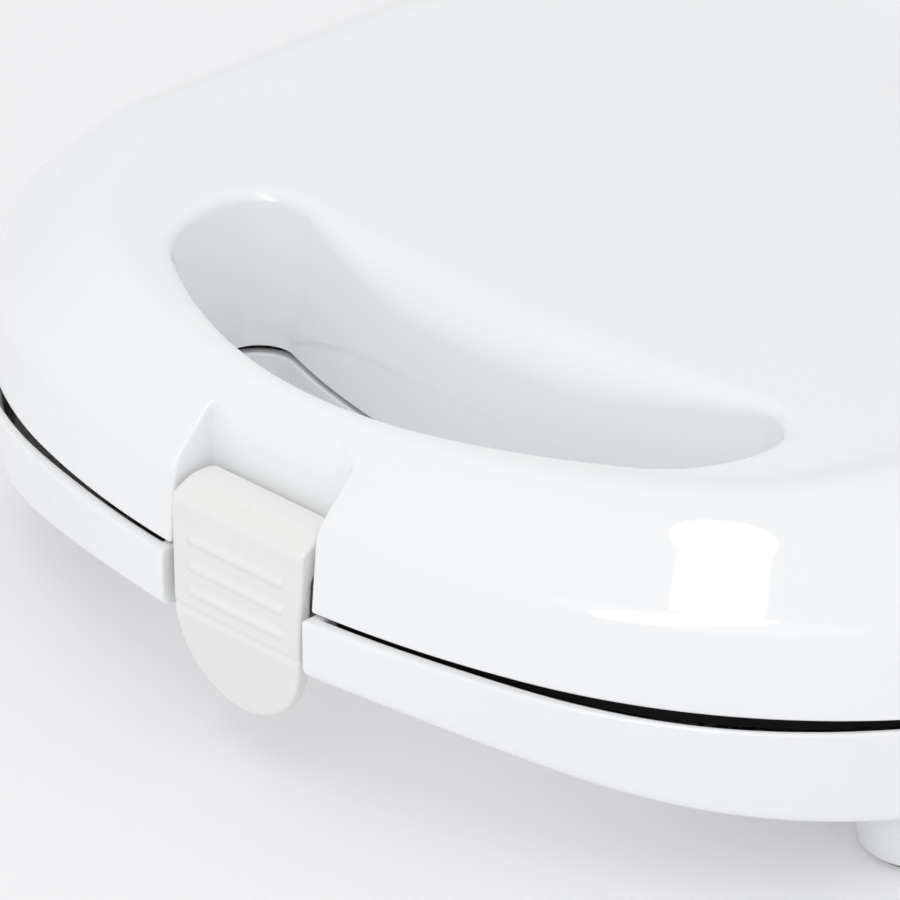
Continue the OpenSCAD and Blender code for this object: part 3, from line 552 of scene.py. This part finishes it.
def lathe(name, profile, centre, steps=72):
    """Closed turned piece from [radius, height] points that start and end on the axis."""
    points, faces = [], []
    inner = profile[1:-1]
    for i in range(steps):
        a = 2 * math.pi * i / steps
        points += [(r * math.cos(a), r * math.sin(a), z) for r, z in inner]
    m = len(inner)
    for i in range(steps):
        here, there = i * m, (i + 1) % steps * m
        faces += [(here + j, there + j, there + j + 1, here + j + 1) for j in range(m - 1)]
        faces.append((len(inner) * steps, there, here))
        faces.append((len(inner) * steps + 1, here + m - 1, there + m - 1))
    points += [(0, 0, profile[0][1]), (0, 0, profile[-1][1])]
    return new_object(name, np.array(points) + np.array(centre), faces)


def arc(centre, r, start, end, steps=6):
    """Points of a round stretch in a turned piece's profile; angles in degrees."""
    angles = [math.radians(start + (end - start) * i / steps) for i in range(steps + 1)]
    return [(centre[0] + r * math.cos(a), centre[1] + r * math.sin(a)) for a in angles]


def joined(name, pieces):
    """One object from several, which keeps their normals."""
    bpy.ops.object.select_all(action="DESELECT")
    for piece in pieces:
        piece.select_set(True)
    bpy.context.view_layer.objects.active = pieces[0]
    bpy.ops.object.join()
    pieces[0].name = name
    pieces[0].data.name = name
    return pieces[0]


# ---------- pieces ----------


def lug_field(x0, x1, web):
    """A hinge barrel from x0 to x1 on a web, whose side view is a field of y and z."""
    def field(x, y, z):
        barrel = np.hypot(y - HINGE_Y, z - HINGE_Z) - BARREL_R
        side = soft_min(barrel, web(y, z), 1.5)
        ends = np.abs(x - (x0 + x1) / 2) - (x1 - x0) / 2
        bore = HINGE_PIN_R - np.hypot(y - HINGE_Y, z - HINGE_Z)
        return np.maximum(deep_max(side, ends, 0.5), bore)
    return field


def lid_web(y, z):
    """Side view of the web between the lid's rear wall and its barrels."""
    slant = (y - HINGE_Y + 0.2 * (z - HINGE_Z) - 3.6) * 0.98
    low = np.maximum((1.5 - z), (HINGE_Z + 4 - z) * 0.3 + (HINGE_Y - 6 - y) * 0.1)
    high = (z - 11.5 + np.maximum(y - CASING_D, 0) * 0.95) * 0.75
    return deep_max(np.maximum(slant, CASING_D - 1.2 - y), np.maximum(low, high), 1.0)


def base_web(y, z):
    """Side view of the web between the base's rear wall and its barrels."""
    high = z - BASE_TOP_Z + 1.2 - np.maximum(y - CASING_D, 0) * 0.3
    low = (BAND_Z + 4 - z + np.maximum(y - CASING_D + 1, 0) * 0.95) * 0.75
    return deep_max(np.maximum(y - HINGE_Y - 4.4, CASING_D - 1.6 - y), np.maximum(low, high), 1.0)


def lugs(name, spans, web):
    """Hinge lugs over spans of X, on both sides."""
    pieces = []
    for x0, x1 in spans:
        for a, b in ((x0, x1), (-x1, -x0)):
            grid = block(graded((a - 0.7, a + 1, 0.3), (a + 1, b - 1, 1.5), (b - 1, b + 0.7, 0.3)),
                         np.arange(CASING_D - 3, HINGE_Y + 6, 0.45), np.arange(-15, 13, 0.45))
            pieces.append(moulded(name, lug_field(a, b, web), grid))
    return pieces


def lid_casing():
    """The lid's moulding with its hinge lugs."""
    levels = graded((-0.5, 0.7, 0.15), (0.7, 2, 0.4), (2, 10, 1.1), (10, 29.3, 0.62))
    shell = moulded("lid_shell", lid_field, ring_grid(levels), ring=True)
    spans = [(LUG_X - LUG_W / 2, LUG_X + LUG_W / 2)]
    return joined("lid_moulding", [shell] + lugs("lid_lug", spans, lid_web))


def foot():
    """Profile of a foot, from the middle of its underside to the middle of its top."""
    top, bottom = FOOT_R
    return ([(0, BAND_Z - 0.02), (top, BAND_Z - 0.02)]
            + arc((bottom - 1.2, FOOT_Z + 1.2), 1.2, 0, -90)
            + [(8.5, FOOT_Z), (8.5, FOOT_Z + 0.4), (0, FOOT_Z + 0.4)])[::-1]


def base_casing():
    """The base's moulding with its hinge lugs."""
    levels = graded((TUB_Z - 0.7, TUB_Z + 2.4, 0.5), (TUB_Z + 2.4, BASE_TOP_Z - 1.2, 0.55),
                    (BASE_TOP_Z - 1.2, BASE_TOP_Z + RIM_RISE + 0.4, 0.2))
    shell = moulded("base_shell", base_field, ring_grid(levels), ring=True)
    low, high = LUG_X - LUG_W / 2 - LUG_GAP, LUG_X + LUG_W / 2 + LUG_GAP
    spans = [(low - BASE_LUG_W, low), (high, high + BASE_LUG_W)]
    return joined("base_moulding", [shell] + lugs("base_lug", spans, base_web))


def feet():
    return joined("pressed_feet", [lathe("foot", foot(), (side * x, y, 0))
                                   for side in (-1, 1) for x, y in FOOT_PLACES])


def clip_face(z):
    """How far back the clip's front face lies at a height above its crease."""
    return CLIP_FACE_Y + (z - CLIP_PIVOT[1]) * CLIP_FACE_LEAN


def stroke(y, z, points, r):
    """Distance from a chain of straight strokes of radius r in the side view."""
    best = np.full(np.broadcast(y, z).shape, 1e9)
    for (y0, z0), (y1, z1) in zip(points, points[1:]):
        span = math.hypot(y1 - y0, z1 - z0)
        ay, az = (y1 - y0) / span, (z1 - z0) / span
        t = np.clip((y - y0) * ay + (z - z0) * az, 0, span)
        best = np.minimum(best, np.hypot(y - y0 - t * ay, z - z0 - t * az))
    return best - r


def oval(x, z, a, b):
    """Distance from the outline of an upright band of half width a that ends below in half an oval."""
    z = np.minimum(z, 0.0)
    share = np.hypot(x / a, z / b)
    return share * (share - 1) / np.maximum(np.hypot(x / a ** 2, z / b ** 2), 1e-6)


def clip_field(x, y, z):
    """The clip: a bent plate with an oval tongue, three grips, a barrel for its pin and a hook."""
    r = CLIP_T / 2
    crease_y = clip_face(CREASE_Z)
    tip = (crease_y + TONGUE_H * math.tan(math.radians(TONGUE_TURN)) + r, CREASE_Z - TONGUE_H)
    chain = [(clip_face(8) + r, 8), (crease_y + r, CREASE_Z), tip]
    barrel = np.hypot(y - CLIP_PIVOT[0], z - CLIP_PIVOT[1]) - CLIP_BARREL_R
    body = soft_min(stroke(y, z, chain, r), barrel, 2.5)
    half = CLIP_HALF + CLIP_TAPER * np.maximum(z, CREASE_Z)
    outline = oval(x, z - CREASE_Z, half, TONGUE_H)
    top = deep_max(np.abs(x) - half, z - CLIP_PIVOT[1] - CLIP_BARREL_R, 3.0)
    body = deep_max(body, np.maximum(outline, top), 0.7)
    body = deep_max(body, 0.8 - np.hypot(y - crease_y + 0.45, z - CREASE_Z), 0.3)
    for grip_z in GRIP_ZS:
        rod = np.hypot(np.maximum(np.abs(x) - CLIP_HALF + GRIP_MARGIN, 0),
                       np.hypot(y - clip_face(grip_z) - 0.15, z - grip_z)) - GRIP_R
        body = soft_min(body, rod, 0.5)
    hook_z = CATCH_Z - HOOK_CLEARANCE - HOOK_H / 2
    hook = np.maximum(np.maximum(HOOK_Y[0] - y, y - HOOK_Y[1]), np.abs(z - hook_z) - HOOK_H / 2)
    body = np.minimum(body, deep_max(np.abs(x) - HOOK_HALF, hook, 0.3))
    bore = CLIP_BORE_R - np.hypot(y - CLIP_PIVOT[0], z - CLIP_PIVOT[1])
    return np.maximum(body, bore)


def clip():
    half = graded((0, 8.5, 0.7), (8.5, 15.4, 0.25))
    xs = np.concatenate([-half[:0:-1], half])
    grid = block(xs, np.arange(-2.5, 10.6, 0.3), np.arange(-25, 13.4, 0.3))
    return moulded("swinging_clip", clip_field, grid)


def polygon_distance(x, y, corners):
    """Signed distance to a convex polygon whose corners run anticlockwise."""
    apart = np.full(np.broadcast(x, y).shape, 1e9)
    inner = np.full(apart.shape, -1e9)
    for (x0, y0), (x1, y1) in zip(corners, corners[1:] + corners[:1]):
        span = math.hypot(x1 - x0, y1 - y0)
        ax, ay = (x1 - x0) / span, (y1 - y0) / span
        t = np.clip((x - x0) * ax + (y - y0) * ay, 0, span)
        apart = np.minimum(apart, np.hypot(x - x0 - t * ax, y - y0 - t * ay))
        inner = np.maximum(inner, (x - x0) * ay - (y - y0) * ax)
    return np.where(inner < 0, -apart, apart)


def plate_field(x, y, z):
    """A cooking plate with its face at z = 0: two pressed sandwiches, each cut in two."""
    slab = deep_max(np.abs(x) - PLATE_W / 2, np.abs(y - PLATE_Y - PLATE_D / 2) - PLATE_D / 2,
                    PLATE_CORNER_R)
    slab = deep_max(slab, np.abs(z + PLATE_T / 2) - PLATE_T / 2, 0.4)
    u, v = np.abs(x) - POCKET_X, y - POCKET_Y
    block_back = deep_max(np.abs(u) - POCKET_W / 2 - BLOCK_WALL, np.abs(v) - POCKET_D / 2 - BLOCK_WALL, 8.0)
    half_h = (POCKET_H + BLOCK_WALL) / 2
    block_back = deep_max(block_back, np.abs(z + half_h) - half_h, 1.5)
    body = np.minimum(slab, block_back)
    top_r, bottom_r = POCKET_R
    x0, y0 = -POCKET_W / 2 + top_r, -POCKET_D / 2 + top_r
    back = RIDGE * 1.9
    corners = [(x0, y0), (-x0 - back, y0), (x0, -y0 - back * POCKET_D / POCKET_W)]
    spread = bottom_r + (top_r - bottom_r) * (1 + z / POCKET_H)
    for side in (1, -1):
        pocket = (polygon_distance(side * u, side * v, corners) - spread) * 0.95
        pocket = deep_max(pocket, -z - POCKET_H, 3.0)
        body = deep_max(body, -pocket, 1.6)
    heads = np.maximum(screw_holes(x, y, PLATE_SCREWS, 2.65), -z - 1.2)
    return deep_max(body, -heads, 0.15)


def cooking_plate(name, face_z, up):
    """A plate with its face up or down."""
    grid = block(np.linspace(-PLATE_W / 2 - 1, PLATE_W / 2 + 1, 181),
                 np.linspace(PLATE_Y - 1, PLATE_Y + PLATE_D + 1, 117),
                 graded((-14.3, -3, 0.9), (-3, 0.5, 0.35)))
    points, quads, normals = skin(plate_field, grid, ring=False)
    flip = np.array([1, 1, 1 if up else -1])
    quads = quads if up else quads[:, ::-1]
    return new_object(name, points * flip + (0, 0, face_z), quads, normals * flip)


# ---------- finishes ----------


class Field:
    """A shader socket that Python's operators turn into Math nodes."""

    def __init__(self, finish, socket):
        self.finish, self.socket = finish, socket

    def _math(self, operation, *values):
        values = [v.socket if isinstance(v, Field) else v for v in values]
        node = self.finish.make("ShaderNodeMath", {"operation": operation}, *values)
        return Field(self.finish, node.outputs[0])

    def __add__(self, other):
        return self._math("ADD", self, other)

    __radd__ = __add__

    def __mul__(self, other):
        return self._math("MULTIPLY", self, other)

    def above(self, level, soft=0.05):
        """0 below a level and 1 above it, with a soft step."""
        settings = {"interpolation_type": "SMOOTHSTEP"}
        node = self.finish.make("ShaderNodeMapRange", settings, self, level - soft, level + soft, 0, 1)
        return Field(self.finish, node.outputs[0])


class Finish:
    """A material with one main shader, built from nodes."""

    def __init__(self, name, **plain):
        self.material = bpy.data.materials.new(name)
        self.material.use_nodes = True
        self.tree = self.material.node_tree
        self.tree.nodes.clear()
        self.shader = self.make("ShaderNodeBsdfPrincipled")
        self.output = self.make("ShaderNodeOutputMaterial")
        self.tree.links.new(self.shader.outputs[0], self.output.inputs[0])
        for socket, value in plain.items():
            self.set(socket.replace("_", " ").title().replace("Ior", "IOR"), value)

    def make(self, kind, settings=None, *values, **named):
        """A node: its settings first, then the values or links of its sockets."""
        node = self.tree.nodes.new(kind)
        for key, value in (settings or {}).items():
            setattr(node, key, value)
        for key, value in list(enumerate(values)) + list(named.items()):
            value = value.socket if isinstance(value, Field) else value
            if isinstance(value, bpy.types.NodeSocket):
                self.tree.links.new(value, node.inputs[key])
            else:
                node.inputs[key].default_value = value
        return node

    def set(self, socket, value):
        value = value.socket if isinstance(value, Field) else value
        if isinstance(value, bpy.types.NodeSocket):
            self.tree.links.new(value, self.shader.inputs[socket])
        else:
            self.shader.inputs[socket].default_value = value

    def place(self):
        """Object coordinates, in metres."""
        return self.make("ShaderNodeTexCoord").outputs["Object"]

    def noise(self, per_metre, detail=2.0, stretch=None):
        where = self.place()
        if stretch:
            mapping = self.make("ShaderNodeMapping", None, where, Scale=stretch)
            where = mapping.outputs[0]
        node = self.make("ShaderNodeTexNoise", None, where, Scale=per_metre, Detail=detail)
        return Field(self, node.outputs[0])

    def colours(self, share, low, high):
        """A colour between two others, by a share."""
        node = self.make("ShaderNodeMix", {"data_type": "RGBA"})
        self.tree.links.new(share.socket, node.inputs[0])
        node.inputs[6].default_value = (*low, 1)
        node.inputs[7].default_value = (*high, 1)
        return node.outputs[2]

    def relief(self, height, depth):
        """Bump of a given depth in metres."""
        node = self.make("ShaderNodeBump", None, Strength=1.0, Distance=depth, Height=height)
        self.set("Normal", node.outputs[0])


def grey(value):
    return (value, value, value)


def gloss_white():
    """Glossy injection-moulded plastic with a faint ripple and a few fine rubs."""
    finish = Finish("gloss_white_plastic", specular_ior_level=0.5)
    cloud = finish.noise(55, 3)
    finish.set("Base Color", finish.colours(cloud, (0.962, 0.976, 0.986), (0.969, 0.981, 0.990)))
    rubs = finish.noise(420, 4, (1, 0.12, 1)).above(0.66, 0.06)
    finish.set("Roughness", 0.022 + cloud * 0.02 + rubs * 0.05)
    finish.relief(finish.noise(95, 1) * 0.8 + finish.noise(1500, 2) * 0.02, 0.000012)
    return finish.material


def satin_white():
    """The clip's plastic: slightly warmer, with a fine satin grain."""
    finish = Finish("satin_warm_plastic", specular_ior_level=0.45)
    cloud = finish.noise(120, 3)
    finish.set("Base Color", finish.colours(cloud, (0.895, 0.895, 0.880), (0.912, 0.911, 0.897)))
    finish.set("Roughness", 0.34 + cloud * 0.08)
    finish.relief(finish.noise(2600, 2), 0.00001)
    return finish.material


def black_cover():
    """Matt heat-resistant plastic with a spark-eroded grain."""
    finish = Finish("black_heat_plastic", specular_ior_level=0.4)
    grain = finish.noise(1800, 3)
    finish.set("Base Color", finish.colours(finish.noise(90, 3), grey(0.010), grey(0.017)))
    finish.set("Roughness", 0.42 + grain * 0.16)
    finish.relief(grain, 0.00004)
    return finish.material


def non_stick():
    """Dark coating with a fine speckle, rubbed lighter in soft patches."""
    finish = Finish("non_stick_coating", specular_ior_level=0.5)
    speck = finish.noise(2600, 2).above(0.66, 0.05)
    worn = finish.noise(60, 4).above(0.62, 0.12)
    finish.set("Base Color", finish.colours(speck * 0.5 + worn * 0.35, grey(0.016), grey(0.085)))
    finish.set("Roughness", 0.30 + finish.noise(300, 3) * 0.12 + worn * 0.1)
    finish.relief(finish.noise(900, 3), 0.00003)
    return finish.material


def metal(name, low, high, rough, stretch=None):
    """Metal with a fine grain, which stretches into lines where it was drawn or rolled."""
    finish = Finish(name, metallic=1.0)
    lines = finish.noise(700, 3, stretch)
    finish.set("Base Color", finish.colours(lines, low, high))
    finish.set("Roughness", rough + finish.noise(80, 3) * 0.12 + lines * 0.05)
    finish.relief(lines, 0.00001)
    return finish.material


def moulded_plain(name, low, high, rough, grain=900.0):
    """Plain moulded plastic, ceramic or rubber."""
    finish = Finish(name)
    cloud = finish.noise(grain, 3)
    finish.set("Base Color", finish.colours(finish.noise(70, 3), low, high))
    finish.set("Roughness", rough + cloud * 0.12)
    finish.relief(cloud, 0.00003)
    return finish.material


def sleeve():
    """Braided glass-fibre sleeve."""
    finish = Finish("braided_sleeve")
    settings = {"wave_type": "BANDS", "bands_direction": "DIAGONAL"}
    braid = finish.make("ShaderNodeTexWave", settings, finish.place(), Scale=900.0, Distortion=1.5)
    share = Field(finish, braid.outputs[1])
    finish.set("Base Color", finish.colours(share, (0.30, 0.045, 0.03), (0.52, 0.10, 0.07)))
    finish.set("Roughness", 0.7 + share * 0.15)
    finish.relief(share, 0.0001)
    return finish.material


def lens(name, low, high):
    """Tinted clear plastic with moulded rings underneath."""
    finish = Finish(name, transmission_weight=0.35, ior=1.49)
    cloud = finish.noise(500, 2)
    finish.set("Base Color", finish.colours(cloud, low, high))
    finish.set("Roughness", 0.08 + cloud * 0.06)
    finish.relief(cloud, 0.00002)
    return finish.material


FLOOR_GLOW = 0.27
GLOW_COLOUR = (0.988, 0.988, 1.0, 1)


def floor_finish():
    """Pale floor that keeps the shadow but looks partly lit from within, as on a light table."""
    finish = Finish("pale_sweep", roughness=1.0, specular_ior_level=0.0)
    patches = finish.noise(3, 2)
    finish.set("Base Color", finish.colours(patches, (0.95, 0.95, 0.966), (0.955, 0.955, 0.971)))
    glow = finish.make("ShaderNodeEmission", None, GLOW_COLOUR, 1.0)
    path = finish.make("ShaderNodeLightPath")
    seen = Field(finish, path.outputs["Is Camera Ray"]) * FLOOR_GLOW
    seen = seen + Field(finish, path.outputs["Is Glossy Ray"]) * FLOOR_GLOW
    mixed = finish.make("ShaderNodeMixShader", None, seen, finish.shader.outputs[0], glow.outputs[0])
    finish.tree.links.new(mixed.outputs[0], finish.output.inputs[0])
    return finish.material


STEEL = dict(low=(0.52, 0.52, 0.54), high=(0.68, 0.68, 0.70))
FINISHES = {
    "white_plastic": gloss_white,
    "clip_plastic": satin_white,
    "black_plastic": black_cover,
    "nonstick": non_stick,
    "element_steel": lambda: metal("heater_sheath", (0.16, 0.13, 0.11), (0.34, 0.31, 0.29), 0.38),
    "reflector_aluminium": lambda: metal("pressed_aluminium", (0.72, 0.73, 0.74), (0.84, 0.84, 0.85), 0.22,
                                         (1, 0.05, 1)),
    "screw_steel": lambda: metal("zinc_plated_steel", rough=0.26, **STEEL),
    "pin_steel": lambda: metal("drawn_steel", rough=0.2, stretch=(0.03, 1, 1), **STEEL),
    "thermostat_metal": lambda: metal("pressed_metal", (0.60, 0.60, 0.61), (0.74, 0.74, 0.75), 0.28),
    "fuse_metal": lambda: metal("fuse_can", (0.55, 0.55, 0.57), (0.66, 0.66, 0.68), 0.3),
    "pad_rubber": lambda: moulded_plain("pad_rubber", grey(0.020), grey(0.030), 0.75, 1400.0),
    "terminal_plastic": lambda: moulded_plain("cream_insulator", (0.62, 0.60, 0.50), (0.70, 0.68, 0.58),
                                              0.45),
    "wire_sleeve": sleeve,
    "red_lens": lambda: lens("red_lens", (0.45, 0.012, 0.010), (0.62, 0.03, 0.02)),
    "green_lens": lambda: lens("green_lens", (0.02, 0.28, 0.05), (0.05, 0.42, 0.09)),
    "lamp_glass": lambda: lens("lamp_glass", (0.85, 0.60, 0.45), (0.95, 0.75, 0.60)),
}


# ---------- the dressed part ----------


def dress(piece, body, material, node):
    """Gives a piece its finish and the body it rides on, in place of a node of the solids."""
    piece.data.materials.clear()
    piece.data.materials.append(material)
    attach(piece, body)
    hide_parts(node)


def dress_part():
    """Finishes every node of the solids, then puts the smooth pieces in the place of theirs."""
    slots = {sub["node"]: sub["material_slot"] for sub in frame["record"]["subparts"]}
    made = {slot: build() for slot, build in FINISHES.items()}
    for node, slot in slots.items():
        obj = bpy.data.objects.get(node)
        for place in obj.material_slots if obj else []:
            place.material = made[slot]
    dress(lid_casing(), "lid", made["white_plastic"], "lid_casing")
    dress(base_casing(), "base", made["white_plastic"], "base_casing")
    dress(feet(), "base", made["white_plastic"], "case_feet")
    dress(clip(), "latch", made["clip_plastic"], "latch")
    upper = cooking_plate("upper_cooking_plate", UPPER_FACE_Z, up=False)
    dress(upper, "lid", made["nonstick"], "upper_plate")
    lower = cooking_plate("lower_cooking_plate", LOWER_FACE_Z, up=True)
    dress(lower, "base", made["nonstick"], "lower_plate")


# ---------- floor, lamps and camera ----------

AZIMUTH = math.radians(45.23)
ELEVATION = math.radians(27.37)
FOCAL_PX = 6485.0
FRAME_PX = 900.0
CAMERA_AT = (0.6300, -0.69075, 0.4977)
SENSOR_W = 36.0

SKY = 0.765
SKY_COLOUR = (0.995, 0.995, 1.0, 1)
FLOOR_HALF = 3.0


def add_camera():
    """A long lens at the front right, above the part."""
    right = Vector((math.cos(AZIMUTH), math.sin(AZIMUTH), 0))
    back = Vector((math.sin(AZIMUTH) * math.cos(ELEVATION), -math.cos(AZIMUTH) * math.cos(ELEVATION),
                   math.sin(ELEVATION)))
    up = back.cross(right)
    data = bpy.data.cameras.new("camera")
    data.sensor_width = SENSOR_W
    data.lens = SENSOR_W * FOCAL_PX / FRAME_PX
    data.clip_start, data.clip_end = 0.05, 20.0
    camera = bpy.data.objects.new("camera", data)
    turn = Matrix((right, up, back)).transposed().to_4x4()
    camera.matrix_world = Matrix.Translation(CAMERA_AT) @ turn
    bpy.context.scene.collection.objects.link(camera)
    bpy.context.scene.camera = camera


def add_floor():
    """A wide pale floor, which carries the shadow."""
    mesh = bpy.data.meshes.new("floor")
    s = FLOOR_HALF
    mesh.from_pydata([(-s, -s, 0), (s, -s, 0), (s, s, 0), (-s, s, 0)], [], [(0, 1, 2, 3)])
    floor = bpy.data.objects.new("floor", mesh)
    bpy.context.scene.collection.objects.link(floor)
    mesh.materials.append(floor_finish())


def add_softbox(name, at, facing, across, size, radiance):
    """An oval lamp whose light leaves along facing, with its width laid along across."""
    data = bpy.data.lights.new(name, "AREA")
    data.shape = "ELLIPSE"
    data.size, data.size_y = size
    area = math.pi / 4 * size[0] * size[1]
    data.energy = radiance * math.pi * area
    z = -Vector(facing).normalized()
    y = z.cross(Vector(across)).normalized()
    turn = Matrix((y.cross(z), y, z)).transposed().to_4x4()
    lamp = bpy.data.objects.new(name, data)
    lamp.matrix_world = Matrix.Translation(at) @ turn
    bpy.context.scene.collection.objects.link(lamp)
    return lamp


def add_world():
    """The even sky."""
    world = bpy.data.worlds.new("studio")
    world.use_nodes = True
    bpy.context.scene.world = world
    tree = world.node_tree
    tree.nodes.clear()
    lit = tree.nodes.new("ShaderNodeBackground")
    lit.inputs[0].default_value = SKY_COLOUR
    lit.inputs[1].default_value = SKY
    output = tree.nodes.new("ShaderNodeOutputWorld")
    tree.links.new(lit.outputs[0], output.inputs[0])


def light_scene():
    """An even sky, a softbox overhead, a dim fill in front and a card that shows in the gloss alone."""
    add_world()
    add_floor()
    add_softbox("overhead_box", (0.235, -0.66, 1.355), (0, 0, -1), (0.84, 0.543, 0), (0.37, 1.0), 2.3)
    add_softbox("front_fill", (0.74, -1.62, 1.25), (-0.36, 0.79, -0.6), (-0.91, -0.41, 0), (2.0, 1.6), 0.6)
    card = add_softbox("front_card", (0.47, -1.50, 1.09), (-0.237, 0.692, -0.682),
                       (-0.950, -0.015, 0.314), (0.54, 1.62), 3.4)
    card.visible_diffuse = False


bpy.context.scene.view_settings.view_transform = "Standard"
dress_part()
light_scene()
add_camera()
